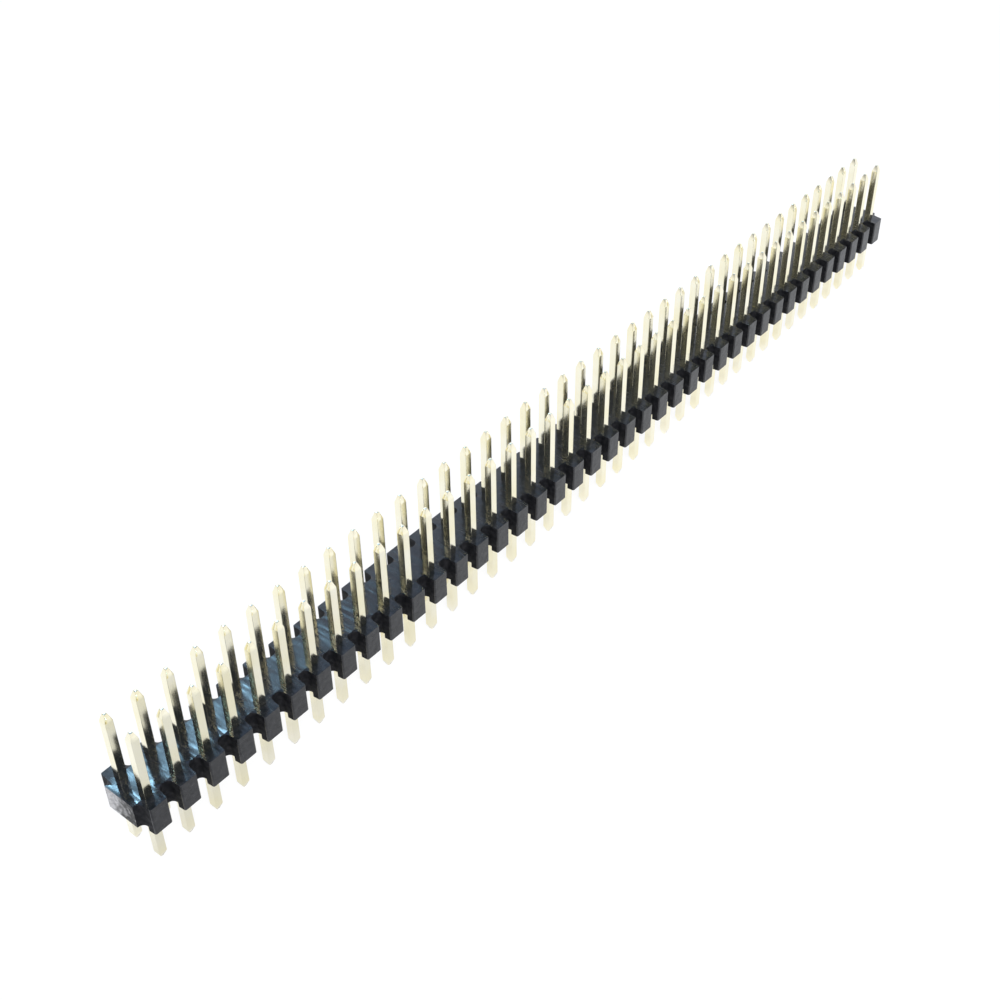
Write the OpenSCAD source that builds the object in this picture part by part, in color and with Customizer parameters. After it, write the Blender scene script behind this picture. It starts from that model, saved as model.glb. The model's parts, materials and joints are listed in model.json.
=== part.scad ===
// Straight double-row pin header: square pins through one moulded break-away body.
// X runs along the strip, Y across the rows, and the tail tips stand on Z = 0.

/* [Grid] */
// Positions along the strip, two pins at each
positions = 40; // [4:1:50]
// Distance between neighbouring pins, along the strip and across it
pitch = 2.54; // [2.4:0.02:3]

/* [Body] */
// Body from front face to rear face
body_depth = 5; // [4.8:0.1:6]
// Body from the soles of its feet to its top
body_height = 2.54; // [1.8:0.02:4]
// Length of a foot, from the outer face inwards
foot_depth = 0.62; // [0.3:0.02:0.8]
// How far the feet hold the underside off the board
foot_height = 0.45; // [0.2:0.05:0.9]

/* [Break notches] */
// Gap between two neighbouring towers at the outer face
notch_mouth = 1.1; // [0.8:0.02:1.3]
// Gap between two neighbouring towers where the notch floor begins
notch_floor = 0.92; // [0.82:0.02:1.1]
// Depth of a notch from the outer face to the web
notch_depth = 1.1; // [0.6:0.05:1.4]
// Radius in the two inner corners of a notch
notch_corner = 0.4; // [0.05:0.01:0.4]
// Bevel on the upright outer edges of each tower
edge_bevel = 0.12; // [0.04:0.02:0.2]

/* [Pins] */
// Side of a square pin
pin_side = 0.64; // [0.5:0.01:0.8]
// Pin above the body, the side that mates
mating_length = 6; // [3:0.1:12]
// Pin below the feet, the side that is soldered
tail_length = 3.8; // [2:0.1:6]
// Length of the four-sided point on the mating end
mating_point = 0.62; // [0.2:0.02:1]
// Length of the four-sided point on the tail
tail_point = 0.5; // [0.2:0.02:1]
// Side of the small flat that ends each point
point_flat = 0.24; // [0.1:0.02:0.4]

/* [Hidden] */

length = positions * pitch;
seat_z = tail_length;
top_z = seat_z + body_height;
pin_height = top_z + mating_length;
relief_width = body_depth - 2 * foot_depth;
corner_steps = 4;
overcut = 0.5;

function pair_name(i) = str("pin_pair_", i < 10 ? "0" : "", i);
function position_x(i) = (i - (positions + 1) / 2) * pitch;

// Quarter arc in the inner corner of a notch, from its side wall to its floor
function corner_arc() = [
    for (k = [0 : corner_steps])
        let (turn = 90 * k / corner_steps)
        [
            notch_floor / 2 - notch_corner * (1 - cos(turn)),
            notch_depth - notch_corner * (1 - sin(turn))
        ]
];

// Right half of a notch in plan, with y measured inwards from the outer face
function notch_half() = concat(
    [
        [notch_mouth / 2 + edge_bevel + overcut, -overcut],
        [notch_mouth / 2, edge_bevel]
    ],
    corner_arc()
);

module notch_plan() {
    half = notch_half();
    last = len(half) - 1;
    polygon(concat(half, [for (k = [0 : last]) [-half[last - k].x, half[last - k].y]]));
}

// One notch on each long side at every joint between positions, and half ones at the ends
module break_notches() {
    for (i = [0 : positions], side = [0, 1])
        translate([(i - positions / 2) * pitch, 0, seat_z - overcut])
            mirror([0, side, 0])
                translate([0, -body_depth / 2, 0])
                    linear_extrude(body_height + 2 * overcut)
                        notch_plan();
}

// Channel along the underside, which leaves a foot below the outer edge of each tower
module underside_relief() {
    translate([-length / 2 - overcut, -relief_width / 2, seat_z - overcut])
        cube([length + 2 * overcut, relief_width, foot_height + overcut]);
}

module pin_holes() {
    for (i = [1 : positions], row = [-1, 1])
        translate([position_x(i), row * pitch / 2, seat_z - overcut])
            linear_extrude(body_height + 2 * overcut)
                square(pin_side, center = true);
}

module body() {
    color([0.12, 0.12, 0.13])
        difference() {
            translate([-length / 2, -body_depth / 2, seat_z])
                cube([length, body_depth, body_height]);
            break_notches();
            underside_relief();
            pin_holes();
        }
}

// Side view of a pin, pointed at both ends
module pin_profile() {
    side = pin_side / 2;
    flat = point_flat / 2;
    polygon([
        [-flat, 0],
        [flat, 0],
        [side, tail_point],
        [side, pin_height - mating_point],
        [flat, pin_height],
        [-flat, pin_height],
        [-side, pin_height - mating_point],
        [-side, tail_point]
    ]);
}

// The same side view seen from two sides leaves a square pin with four-sided points
module square_pin() {
    intersection() {
        rotate([90, 0, 0])
            linear_extrude(pin_side, center = true)
                pin_profile();
        rotate([90, 0, 90])
            linear_extrude(pin_side, center = true)
                pin_profile();
    }
}

// Front pin and rear pin of one position
module pin_pair(i) {
    color([0.93, 0.85, 0.6])
        for (row = [-1, 1])
            translate([position_x(i), row * pitch / 2, 0])
                square_pin();
}

body();
for (i = [1 : positions])
    pin_pair(i);
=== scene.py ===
import bpy
import json
import math
from mathutils import Euler, Matrix, Vector

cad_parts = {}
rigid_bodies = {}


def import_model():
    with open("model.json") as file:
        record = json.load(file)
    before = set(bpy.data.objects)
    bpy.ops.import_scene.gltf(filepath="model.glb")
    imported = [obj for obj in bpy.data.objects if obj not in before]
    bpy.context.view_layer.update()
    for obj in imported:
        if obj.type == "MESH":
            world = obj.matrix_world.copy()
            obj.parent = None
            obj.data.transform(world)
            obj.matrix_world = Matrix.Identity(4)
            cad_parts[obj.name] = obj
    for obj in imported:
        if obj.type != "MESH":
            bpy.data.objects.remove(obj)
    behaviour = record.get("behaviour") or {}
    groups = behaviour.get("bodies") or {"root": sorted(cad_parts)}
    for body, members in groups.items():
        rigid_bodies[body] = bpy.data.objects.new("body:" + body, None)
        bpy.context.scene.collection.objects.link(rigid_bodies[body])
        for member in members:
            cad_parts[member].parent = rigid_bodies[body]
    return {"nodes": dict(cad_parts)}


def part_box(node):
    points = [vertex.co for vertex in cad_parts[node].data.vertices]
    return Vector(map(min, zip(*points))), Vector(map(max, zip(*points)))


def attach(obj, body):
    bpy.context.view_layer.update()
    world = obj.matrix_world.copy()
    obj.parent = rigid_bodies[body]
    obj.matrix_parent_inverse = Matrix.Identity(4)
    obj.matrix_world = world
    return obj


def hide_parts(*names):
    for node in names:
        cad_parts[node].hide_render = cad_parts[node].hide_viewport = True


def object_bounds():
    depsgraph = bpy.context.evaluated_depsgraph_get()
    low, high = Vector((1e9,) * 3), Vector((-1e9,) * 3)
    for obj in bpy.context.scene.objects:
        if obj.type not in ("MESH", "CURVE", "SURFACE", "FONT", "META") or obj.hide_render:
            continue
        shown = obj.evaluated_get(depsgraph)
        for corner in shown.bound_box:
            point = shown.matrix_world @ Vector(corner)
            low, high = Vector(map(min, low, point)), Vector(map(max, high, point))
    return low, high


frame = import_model()
cadBox = [list(corner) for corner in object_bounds()]
pairNodes = sorted(name for name in frame["nodes"] if name.startswith("pin_pair"))
print("frame loaded,", len(pairNodes), "positions")

mm = 0.001
tolerance = 0.004 * mm         # within it two places count as one
facing = 0.9                   # cosine from which a face looks along an axis
squarely = 0.99                # and from which it is flat on to it
upright = 0.5                  # cosine to the vertical below which it stands upright
smoothUpTo = 45                # degrees between faces that are shaded as one

bodyLow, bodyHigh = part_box("body")
firstLow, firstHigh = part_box(pairNodes[0])
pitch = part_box(pairNodes[1])[0].x - firstLow.x
firstX = (firstLow.x + firstHigh.x) / 2
pinSide = firstHigh.x - firstLow.x
rowOffset = firstHigh.y - pinSide / 2          # from the middle of the strip to a row


def near(value, target):
    return abs(value - target) < tolerance


def addBox(name, low, high):
    bpy.ops.object.select_all(action="DESELECT")
    middle = (Vector(low) + Vector(high)) / 2
    bpy.ops.mesh.primitive_cube_add(size=1, location=middle, scale=Vector(high) - Vector(low))
    bpy.ops.object.transform_apply(location=True, rotation=True, scale=True)
    piece = bpy.context.object
    piece.name = name
    piece.data.name = name
    return piece


def pickFaces(piece, wanted):
    # leaves the piece in edit mode with the faces selected that wanted(centre, normal) says
    bpy.ops.object.mode_set(mode="EDIT")
    bpy.ops.mesh.select_mode(type="FACE")
    bpy.ops.mesh.select_all(action="DESELECT")
    bpy.ops.object.mode_set(mode="OBJECT")
    for face in piece.data.polygons:
        face.select = wanted(face.center, face.normal)
    bpy.ops.object.mode_set(mode="EDIT")


def pickEdges(piece, wanted):
    # the same for edges, by their two ends
    bpy.ops.object.mode_set(mode="EDIT")
    bpy.ops.mesh.select_mode(type="EDGE")
    bpy.ops.mesh.select_all(action="DESELECT")
    bpy.ops.object.mode_set(mode="OBJECT")
    points = piece.data.vertices
    for edge in piece.data.edges:
        edge.select = wanted(points[edge.vertices[0]].co, points[edge.vertices[1]].co)
    bpy.ops.object.mode_set(mode="EDIT")


def pullFaces(way):
    bpy.ops.mesh.extrude_region_move(TRANSFORM_OT_translate={"value": way})


def cutAt(place, normal):
    # a straight cut right through the piece that is in edit mode
    bpy.ops.mesh.select_all(action="SELECT")
    bpy.ops.mesh.bisect(plane_co=place, plane_no=normal)


def applyModifier(piece, kind, **settings):
    bpy.context.view_layer.objects.active = piece
    modifier = piece.modifiers.new(kind, kind)
    for setting, value in settings.items():
        setattr(modifier, setting, value)
    bpy.ops.object.modifier_apply(modifier=modifier.name)


def softenEdges(piece, sizes):
    applyModifier(piece, "BEVEL", width=sizes["edgeRadius"], segments=sizes["edgeSteps"],
                  limit_method="ANGLE", angle_limit=math.radians(sizes["edgesSharperThan"]),
                  use_clamp_overlap=True)


def smoothFaces(piece):
    bpy.ops.object.shade_smooth_by_angle(angle=math.radians(smoothUpTo))
    applyModifier(piece, "WEIGHTED_NORMAL", weight=100, keep_sharp=True)


moulding = {
    "notchMouth": 1.1 * mm,    # width of a notch at the tower faces
    "notchFloor": 0.92 * mm,   # and at the web
    "notchDepth": 1.1 * mm,
    "notchCorner": 0.4 * mm,
    "notchCornerSteps": 6,
    "uprightBevel": 0.12 * mm,
    "uprightSteps": 3,
    "footDepth": 0.62 * mm,
    "footHeight": 0.45 * mm,
    "crown": 0.06 * mm,        # how far the tower tops fall towards their faces
    "holeGap": 0.008 * mm,     # air round a pin in its hole
    "edgeRadius": 0.05 * mm,
    "edgeSteps": 2,
    "edgesSharperThan": 30,    # degrees
    "breakDepth": 0.07 * mm,   # pits in the two broken webs
    "breakSink": 1.5,          # times as deep as the pits
    "breakCuts": (5, 3),       # for the coarse pits and the fine ones
    "finePits": 6,             # times shallower than the coarse ones
    "breakSeeds": (3, 8),      # left end and right end
}


def growTowers(body, sizes):
    # out of the web, on both sides and narrower towards their faces
    floorHalf = (pitch - sizes["notchFloor"]) / 2
    mouthHalf = (pitch - sizes["notchMouth"]) / 2
    for side in (-1, 1):
        cutAt((firstX + side * floorHalf, 0, 0), (1, 0, 0))
    for side in (-1, 1):
        pickFaces(body, lambda centre, normal: normal.y * side > facing
                  and abs(centre.x - firstX) < floorHalf)
        pullFaces((0, side * sizes["notchDepth"], 0))
        bpy.ops.transform.resize(value=(mouthHalf / floorHalf, 1, 1),
                                 center_override=(firstX, side * bodyHigh.y, bodyHigh.z))
    pickEdges(body, lambda a, b: near(a.z, bodyHigh.z) and near(b.z, bodyHigh.z)
              and near(abs(a.y), bodyHigh.y) and near(abs(b.y), bodyHigh.y))
    bpy.ops.transform.translate(value=(0, 0, -sizes["crown"]))


def growFeet(body, sizes):
    footY = bodyHigh.y - sizes["footDepth"]
    for side in (-1, 1):
        cutAt((firstX, side * footY, 0), (0, 1, 0))
    pickFaces(body, lambda centre, normal: normal.z < -facing and abs(centre.y) > footY)
    pullFaces((0, 0, -sizes["footHeight"]))


def roundUprights(body, sizes):
    webY = bodyHigh.y - sizes["notchDepth"]
    floorHalf = (pitch - sizes["notchFloor"]) / 2
    pickEdges(body, lambda a, b: near(a.x, b.x) and near(a.y, b.y) and near(abs(a.y), webY)
              and near(abs(a.x - firstX), floorHalf))
    bpy.ops.mesh.bevel(offset=sizes["notchCorner"], segments=sizes["notchCornerSteps"], affect="EDGES")
    pickEdges(body, lambda a, b: near(a.x, b.x) and near(a.y, b.y) and near(abs(a.y), bodyHigh.y))
    bpy.ops.mesh.bevel(offset=sizes["uprightBevel"], segments=sizes["uprightSteps"], affect="EDGES")
    bpy.ops.mesh.select_all(action="SELECT")
    bpy.ops.mesh.dissolve_limited(angle_limit=math.radians(1))
    bpy.ops.object.mode_set(mode="OBJECT")


def cutHoles(body, sizes):
    reach = pinSide / 2 + sizes["holeGap"]
    for side in (-1, 1):
        cutter = addBox("holeCutter",
                        (firstX - reach, side * rowOffset - reach, bodyLow.z - mm),
                        (firstX + reach, side * rowOffset + reach, bodyHigh.z + mm))
        applyModifier(body, "BOOLEAN", operation="DIFFERENCE", object=cutter, solver="EXACT")
        bpy.data.objects.remove(cutter)
    bpy.ops.object.select_all(action="DESELECT")
    body.select_set(True)
    bpy.context.view_layer.objects.active = body


def repeatAlong(body):
    # opens one position at both sides, makes the row from it and closes the row's ends
    pickFaces(body, lambda centre, normal: abs(normal.x) > facing
              and near(abs(centre.x - firstX), pitch / 2))
    bpy.ops.mesh.delete(type="FACE")
    bpy.ops.object.mode_set(mode="OBJECT")
    applyModifier(body, "ARRAY", count=len(pairNodes), use_relative_offset=False,
                  use_constant_offset=True, constant_offset_displace=(pitch, 0, 0),
                  use_merge_vertices=True, merge_threshold=tolerance / 2)
    for end in (bodyLow.x, bodyHigh.x):
        pickEdges(body, lambda a, b: near(a.x, end) and near(b.x, end))
        bpy.ops.mesh.edge_face_add()
    bpy.ops.mesh.select_all(action="SELECT")
    bpy.ops.mesh.normals_make_consistent(inside=False)
    bpy.ops.object.mode_set(mode="OBJECT")


def breakFace(body, end, sizes, seed):
    # sinks the flat face at an end a little and pits it, coarsely and then finely
    depth = sizes["breakDepth"]
    coarseCuts, fineCuts = sizes["breakCuts"]
    pickFaces(body, lambda centre, normal: abs(normal.x) > squarely and near(centre.x, end))
    bpy.ops.mesh.select_mode(type="VERT")
    bpy.ops.mesh.subdivide(number_cuts=coarseCuts)
    bpy.ops.mesh.select_less()
    bpy.ops.transform.translate(value=(-math.copysign(sizes["breakSink"] * depth, end), 0, 0))
    bpy.ops.transform.vertex_random(offset=depth, uniform=0.2, normal=1, seed=seed)
    bpy.ops.mesh.select_more()
    bpy.ops.mesh.subdivide(number_cuts=fineCuts)
    bpy.ops.mesh.select_less()
    bpy.ops.mesh.vertices_smooth(factor=0.5, repeat=2)
    bpy.ops.mesh.select_less()
    bpy.ops.transform.vertex_random(offset=depth / sizes["finePits"], normal=1, seed=seed + 1)
    bpy.ops.object.mode_set(mode="OBJECT")


def modelBody(sizes):
    webY = bodyHigh.y - sizes["notchDepth"]
    body = addBox("bodyMoulding", (firstX - pitch / 2, -webY, bodyLow.z + sizes["footHeight"]),
                  (firstX + pitch / 2, webY, bodyHigh.z))
    bpy.ops.object.mode_set(mode="EDIT")
    growTowers(body, sizes)
    growFeet(body, sizes)
    roundUprights(body, sizes)
    cutHoles(body, sizes)
    repeatAlong(body)
    softenEdges(body, sizes)
    for end, seed in zip((bodyLow.x, bodyHigh.x), sizes["breakSeeds"]):
        breakFace(body, end, sizes, seed)
    smoothFaces(body)
    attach(body, "root")
    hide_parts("body")
    print("body moulded,", len(body.data.polygons), "faces")
    return body


body = modelBody(moulding)

wire = {
    "matingPoint": 0.62 * mm,  # length of the upper point
    "tailPoint": 0.5 * mm,     # and of the lower one
    "pointFlat": 0.24 * mm,    # width of the flat at the end of both
    "edgeRadius": 0.03 * mm,
    "edgeSteps": 2,
    "edgesSharperThan": 10,    # degrees
}


def modelPins(sizes):
    # the front pin of the first pair, and then the rear one behind it
    half = pinSide / 2
    shrink = sizes["pointFlat"] / pinSide
    pins = addBox("pinPairModel", (firstX - half, firstLow.y, firstLow.z),
                  (firstX + half, firstLow.y + pinSide, firstHigh.z))
    bpy.ops.object.mode_set(mode="EDIT")
    cutAt((0, 0, firstLow.z + sizes["tailPoint"]), (0, 0, 1))
    cutAt((0, 0, firstHigh.z - sizes["matingPoint"]), (0, 0, 1))
    for end in (-1, 1):
        pickFaces(pins, lambda centre, normal: normal.z * end > facing)
        bpy.ops.transform.resize(value=(shrink, shrink, 1),
                                 center_override=(firstX, -rowOffset, firstLow.z))
    bpy.ops.object.mode_set(mode="OBJECT")
    softenEdges(pins, sizes)
    smoothFaces(pins)
    applyModifier(pins, "ARRAY", count=2, use_relative_offset=False, use_constant_offset=True,
                  constant_offset_displace=(0, 2 * rowOffset, 0))
    return pins


def copyPins(model):
    pairs = []
    for node in pairNodes:
        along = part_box(node)[0].x - firstLow.x
        pair = model.copy()
        pair.data = model.data.copy()
        pair.data.transform(Matrix.Translation((along, 0, 0)))
        pair.name = node.replace("pin_pair_", "pinPair")
        bpy.context.scene.collection.objects.link(pair)
        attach(pair, "root")
        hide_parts(node)
        pairs.append(pair)
    bpy.data.objects.remove(model)
    print("pins copied,", len(pairs), "pairs of", len(pairs[0].data.polygons), "faces")
    return pairs


pinPairs = copyPins(modelPins(wire))

noiseSpan = (0.3, 0.7)         # nearly all of a noise lies in it


def newMaterial(name):
    material = bpy.data.materials.new(name)
    material.use_nodes = True
    return material, material.node_tree, material.node_tree.nodes["Principled BSDF"]


def feed(tree, value, socket):
    # another node's output, or a plain number
    if isinstance(value, (int, float)):
        socket.default_value = value
    else:
        tree.links.new(value, socket)


def noiseAt(tree, scale, detail, stretch=(1, 1, 1)):
    # noise in the piece's own coordinates, stretched along an axis
    place = tree.nodes.new("ShaderNodeTexCoord")
    mapping = tree.nodes.new("ShaderNodeMapping")
    mapping.inputs["Scale"].default_value = stretch
    noise = tree.nodes.new("ShaderNodeTexNoise")
    noise.inputs["Scale"].default_value = scale
    noise.inputs["Detail"].default_value = detail
    tree.links.new(place.outputs["Object"], mapping.inputs["Vector"])
    tree.links.new(mapping.outputs["Vector"], noise.inputs["Vector"])
    return noise.outputs["Fac"]


def ramp(tree, source, span, lowColour, highColour):
    colours = tree.nodes.new("ShaderNodeValToRGB")
    lowStop, highStop = colours.color_ramp.elements
    lowStop.position, highStop.position = span
    lowStop.color = (*lowColour, 1)
    highStop.color = (*highColour, 1)
    tree.links.new(source, colours.inputs["Fac"])
    return colours.outputs["Color"]


def level(tree, source, span, values=(0, 1)):
    # spreads what lies in a span of the source over a range of values
    spread = tree.nodes.new("ShaderNodeMapRange")
    spread.inputs["From Min"].default_value, spread.inputs["From Max"].default_value = span
    spread.inputs["To Min"].default_value, spread.inputs["To Max"].default_value = values
    tree.links.new(source, spread.inputs["Value"])
    return spread.outputs["Result"]


def combine(tree, operation, first, second):
    maths = tree.nodes.new("ShaderNodeMath")
    maths.operation = operation
    feed(tree, first, maths.inputs[0])
    feed(tree, second, maths.inputs[1])
    return maths.outputs["Value"]


def between(tree, share, first, second):
    # a number that goes from the first to the second as the share rises
    mix = tree.nodes.new("ShaderNodeMix")
    feed(tree, share, mix.inputs["Factor"])
    feed(tree, first, mix.inputs["A"])
    feed(tree, second, mix.inputs["B"])
    return mix.outputs["Result"]


def mixShaders(tree, share, first, second):
    mix = tree.nodes.new("ShaderNodeMixShader")
    for socket, source in enumerate((share, first, second)):
        tree.links.new(source, mix.inputs[socket])
    return mix.outputs["Shader"]


def alongAxis(tree, axis, coordinates="Object"):
    place = tree.nodes.new("ShaderNodeTexCoord")
    parts = tree.nodes.new("ShaderNodeSeparateXYZ")
    tree.links.new(place.outputs[coordinates], parts.inputs["Vector"])
    return parts.outputs[axis]


def addBump(tree, height, strength, depth, under=None):
    bump = tree.nodes.new("ShaderNodeBump")
    bump.inputs["Strength"].default_value = strength
    bump.inputs["Distance"].default_value = depth
    tree.links.new(height, bump.inputs["Height"])
    if under:
        tree.links.new(under, bump.inputs["Normal"])
    return bump.outputs["Normal"]


# a pattern is its noise's scale, detail and stretch, and a bump its strength and depth
plastic = {
    "dark": (0.004, 0.0045, 0.0065),
    "light": (0.026, 0.025, 0.028),
    "specks": (2800, 4),       # of the filler under the skin
    "speckSpan": (0.42, 0.72),
    "gloss": (2300, 2, (1, 0.22, 1)),      # streaks that are longer across the strip than along it
    "roughness": (0.09, 0.30),
    "grain": (14000, 3),
    "grainBump": (0.04, 0.002 * mm),
    "flow": (1500, 1, (1, 0.2, 1)),        # flow marks that run the same way as the gloss
    "flowBump": (1.0, 0.035 * mm),
    "ior": 1.54,
    "specular": 0.5,
}
notchPlastic = dict(plastic, roughness=(0.6, 0.8), specular=0.2, grainBump=(0.3, 0.006 * mm))


def makePlastic(name, look):
    material, tree, shader = newMaterial(name)
    specks = noiseAt(tree, *look["specks"])
    grain = noiseAt(tree, *look["grain"])
    gloss = noiseAt(tree, *look["gloss"])
    flow = noiseAt(tree, *look["flow"])
    colour = ramp(tree, specks, look["speckSpan"], look["dark"], look["light"])
    waves = addBump(tree, flow, *look["flowBump"])
    skin = addBump(tree, grain, *look["grainBump"], waves)
    shader.inputs["IOR"].default_value = look["ior"]
    shader.inputs["Specular IOR Level"].default_value = look["specular"]
    tree.links.new(colour, shader.inputs["Base Color"])
    tree.links.new(level(tree, gloss, noiseSpan, look["roughness"]), shader.inputs["Roughness"])
    tree.links.new(skin, shader.inputs["Normal"])
    return material


torn = {
    "dark": (0.05, 0.048, 0.045),
    # pale grey, partly stress whitening and partly painted light on the lit end face
    "light": (0.68, 0.65, 0.63),
    "crumbs": (2600, 6),
    "markSpan": (0.35, 0.7),
    "whiteningAndPaintedLight": (-0.20, 0.20),            # paler towards the rear, partly stress whitening and partly painted light where the end face is lit
    "whiteningAndPaintedLightSpan": (-1.1 * mm, 1.2 * mm),
    "roughness": (0.5, 0.8),
    "bump": (0.7, 0.02 * mm),
    "reach": 3 * moulding["breakDepth"],   # how far into the strip a torn face can lie
    "facing": 0.75,
}


def makeTornPlastic(look):
    # the rough skin of a broken web, pale partly from stress whitening and partly as painted light on
    # the lit end face
    material, tree, shader = newMaterial("tornPlastic")
    crumbs = noiseAt(tree, *look["crumbs"])
    # painted light in part: the face pales towards the rear, partly as stress whitening and partly as
    # light on the lit end face, and this is added to the crumbs
    whiteningAndPaintedLight = level(tree, alongAxis(tree, "Y"), look["whiteningAndPaintedLightSpan"], look["whiteningAndPaintedLight"])
    marks = combine(tree, "ADD", crumbs, whiteningAndPaintedLight)
    colour = ramp(tree, marks, look["markSpan"], look["dark"], look["light"])
    tree.links.new(colour, shader.inputs["Base Color"])
    tree.links.new(level(tree, crumbs, noiseSpan, look["roughness"]), shader.inputs["Roughness"])
    tree.links.new(addBump(tree, crumbs, *look["bump"]), shader.inputs["Normal"])
    return material


gold = {
    "bright": (0.97, 0.93, 0.77),
    "deep": (0.94, 0.88, 0.63),
    "patches": (420, 3),
    "roughness": (0.10, 0.17),
    "streaks": (9000, 3, (1, 1, 0.03)),    # drawing marks along the wire
    "bump": (0.03, 0.001 * mm),
}


def makeGold(look):
    material, tree, shader = newMaterial("paleGoldPlating")
    patches = noiseAt(tree, *look["patches"])
    streaks = noiseAt(tree, *look["streaks"])
    colour = ramp(tree, patches, noiseSpan, look["bright"], look["deep"])
    shader.inputs["Metallic"].default_value = 1
    tree.links.new(colour, shader.inputs["Base Color"])
    tree.links.new(level(tree, streaks, noiseSpan, look["roughness"]), shader.inputs["Roughness"])
    tree.links.new(addBump(tree, streaks, *look["bump"]), shader.inputs["Normal"])
    return material


def dress(piece, *materials):
    piece.data.materials.clear()
    for material in materials:
        piece.data.materials.append(material)


def isTorn(face):
    return (abs(face.center.x) > bodyHigh.x - torn["reach"]
            and abs(face.normal.x) > torn["facing"])


def isInNotch(face):
    # upright, between two towers and behind their faces
    slack = 0.01 * mm
    fromMiddle = abs((face.center.x - firstX + pitch / 2) % pitch - pitch / 2)
    towerHalf = (pitch - moulding["notchMouth"]) / 2
    return (abs(face.normal.z) < upright and fromMiddle > towerHalf - slack
            and abs(face.center.y) < bodyHigh.y - moulding["uprightBevel"])


def dressBody(body):
    dress(body, makePlastic("blackMouldingPlastic", plastic), makeTornPlastic(torn),
          makePlastic("matteNotchPlastic", notchPlastic))
    for face in body.data.polygons:
        face.material_index = 0
        if isTorn(face):
            face.material_index = 1
        elif isInNotch(face):
            face.material_index = 2


def dressPins(pairs):
    plating = makeGold(gold)
    for pair in pairs:
        dress(pair, plating)


dressBody(body)
dressPins(pinPairs)
print("materials set")

studio = {
    "floorSize": 3.0,
    "floorGlow": 1.10,
    "paper": (0.85, 0.85, 0.85),
    "seenShare": 0.84,         # part of the floor's white that shadow leaves alone
    "mirroredShare": 0.65,     # and the same where the part mirrors the floor
    "mirroredFront": (0.73, 1.25),         # what it mirrors of the floor in front, from left to right
    "mirroredAlong": (-0.056, 0.002),      # from where to where that rises
    "mirroredBehind": 1.21,                # what it mirrors of the floor behind
    "mirroredAcross": (-0.003, 0.003),     # the line between front and behind
    "skyTop": (0.37, 0.54, 0.82),          # overhead, where it is white low down
    "skySpan": (0.35, 0.85),               # heights between which it turns blue
    "windowSide": 1.35,                    # the rear right quarter is the bright one
    "dimSide": 0.4,
    "windowEdge": (-0.30, 0.08),           # how soft the line between them is
    "changeFrom": (0.15, 0.40),            # heights at which it starts and is full
    "aim": (0, 0, 0.006),
    "keyPlace": (-0.25, -0.35, 0.50),
    "keySize": (0.3, 0.3),
    "keyPower": 2.0,
    "panes": ((0.105, 0.23), (0.165, 0.08), (0.225, 0.02)),    # each one's place along, and power
    "paneBehind": 0.30,
    "paneUp": 0.412,
    "paneAim": (-0.035, 0, 0.006),
    "paneSize": (0.024, 0.040),
    "paneColour": (0.35, 0.65, 0.87),
}


def makePaper(look):
    # white as seen and as mirrored, and paper that takes shadow for the rest
    material, tree, shader = newMaterial("whiteFloor")
    tree.nodes.remove(shader)
    path = tree.nodes.new("ShaderNodeLightPath")
    mirrored = combine(tree, "MAXIMUM", path.outputs["Is Glossy Ray"],
                       path.outputs["Is Transmission Ray"])
    front = level(tree, alongAxis(tree, "X"), look["mirroredAlong"], look["mirroredFront"])
    howFarBehind = level(tree, alongAxis(tree, "Y"), look["mirroredAcross"])
    inMirror = between(tree, howFarBehind, front, look["mirroredBehind"])
    glow = tree.nodes.new("ShaderNodeEmission")
    feed(tree, between(tree, mirrored, look["floorGlow"], inMirror), glow.inputs["Strength"])
    paper = tree.nodes.new("ShaderNodeBsdfDiffuse")
    paper.inputs["Color"].default_value = (*look["paper"], 1)
    seenPart = combine(tree, "MULTIPLY", path.outputs["Is Camera Ray"], look["seenShare"])
    mirroredPart = combine(tree, "MULTIPLY", mirrored, look["mirroredShare"])
    whole = mixShaders(tree, combine(tree, "ADD", seenPart, mirroredPart),
                       paper.outputs["BSDF"], glow.outputs["Emission"])
    tree.links.new(whole, tree.nodes["Material Output"].inputs["Surface"])
    return material


def makeFloor(look):
    bpy.ops.object.select_all(action="DESELECT")
    bpy.ops.mesh.primitive_plane_add(size=look["floorSize"], location=(0, 0, cadBox[0][2]))
    floor = bpy.context.object
    floor.name = "floor"
    dress(floor, makePaper(look))


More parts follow.
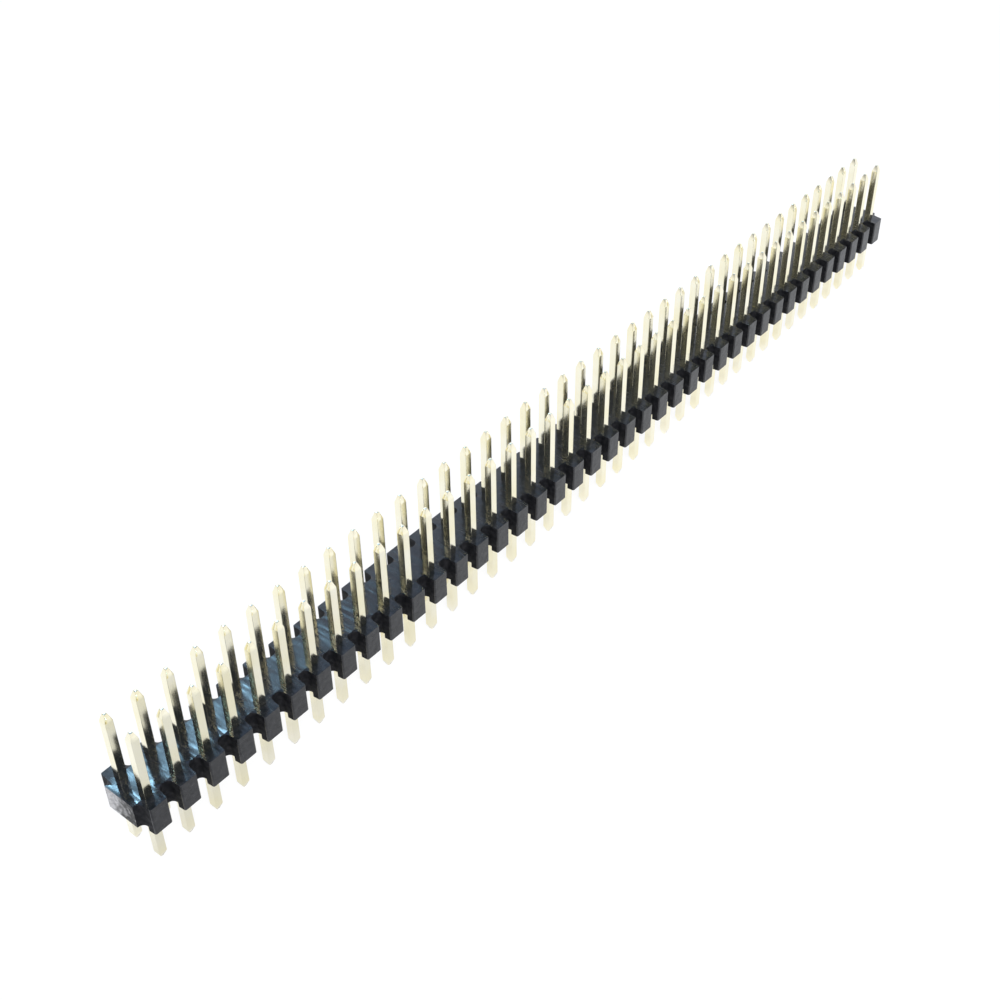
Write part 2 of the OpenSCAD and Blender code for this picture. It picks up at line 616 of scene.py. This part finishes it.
def makeSky(look):
    # white round the horizon, bluer overhead, brighter towards the window and dimmer away from it
    world = bpy.data.worlds.new("paleRoom")
    bpy.context.scene.world = world
    world.use_nodes = True
    tree = world.node_tree
    room = tree.nodes["Background"]
    up = alongAxis(tree, "Z", "Generated")
    right = level(tree, alongAxis(tree, "X", "Generated"), look["windowEdge"])
    back = level(tree, alongAxis(tree, "Y", "Generated"), look["windowEdge"])
    window = combine(tree, "MULTIPLY", right, back)
    gain = level(tree, window, (0, 1), (look["dimSide"] - 1, look["windowSide"] - 1))
    change = combine(tree, "MULTIPLY", level(tree, up, look["changeFrom"]), gain)
    feed(tree, ramp(tree, up, look["skySpan"], (1, 1, 1), look["skyTop"]), room.inputs["Color"])
    feed(tree, combine(tree, "ADD", change, 1), room.inputs["Strength"])
    seen = tree.nodes.new("ShaderNodeBackground")      # the camera itself sees white
    seen.inputs["Color"].default_value = (1, 1, 1, 1)
    path = tree.nodes.new("ShaderNodeLightPath")
    whole = mixShaders(tree, path.outputs["Is Camera Ray"], room.outputs["Background"],
                       seen.outputs["Background"])
    tree.links.new(whole, tree.nodes["World Output"].inputs["Surface"])


def addLamp(name, place, aim, size, power, colour=(1, 1, 1)):
    bpy.ops.object.light_add(type="AREA", location=place)
    lamp = bpy.context.object
    lamp.name = name
    back = (Vector(place) - Vector(aim)).normalized()
    side = (Vector((1, 0, 0)) - back * back.x).normalized()    # its long side runs along the strip
    lamp.rotation_euler = Matrix((side, back.cross(side), back)).transposed().to_euler()
    lamp.data.shape = "RECTANGLE"
    lamp.data.size, lamp.data.size_y = size
    lamp.data.energy = power
    lamp.data.color = colour
    return lamp


def addWindow(look):
    # three blue panes behind, seen only in reflections
    for number, (along, power) in enumerate(look["panes"], 1):
        pane = addLamp(f"windowPane{number}", (along, look["paneBehind"], look["paneUp"]),
                       look["paneAim"], look["paneSize"], power, look["paneColour"])
        pane.visible_diffuse = False


makeFloor(studio)
makeSky(studio)
addLamp("keyLamp", studio["keyPlace"], studio["aim"], studio["keySize"], studio["keyPower"])
addWindow(studio)
print("studio lit")

shot = {
    "place": Vector((-81.4, -57.5, 79.9)) * mm,
    "heading": 50.64,          # degrees from the rear towards the right
    "dip": 39.23,
    "roll": -0.73,
    "lens": 51.6,
    "sensor": 36,
    "nearest": mm,
    "farthest": 10,
}


def addCamera(view):
    bpy.ops.object.camera_add(location=view["place"])
    camera = bpy.context.object
    turn = Euler((math.radians(90 - view["dip"]), 0, -math.radians(view["heading"]))).to_matrix()
    camera.rotation_euler = (turn @ Matrix.Rotation(math.radians(view["roll"]), 3, "Z")).to_euler()
    camera.data.lens = view["lens"]
    camera.data.sensor_width = view["sensor"]
    camera.data.clip_start = view["nearest"]
    camera.data.clip_end = view["farthest"]
    bpy.context.scene.camera = camera


addCamera(shot)
bpy.context.scene.view_settings.view_transform = "Standard"

print("scene ready")
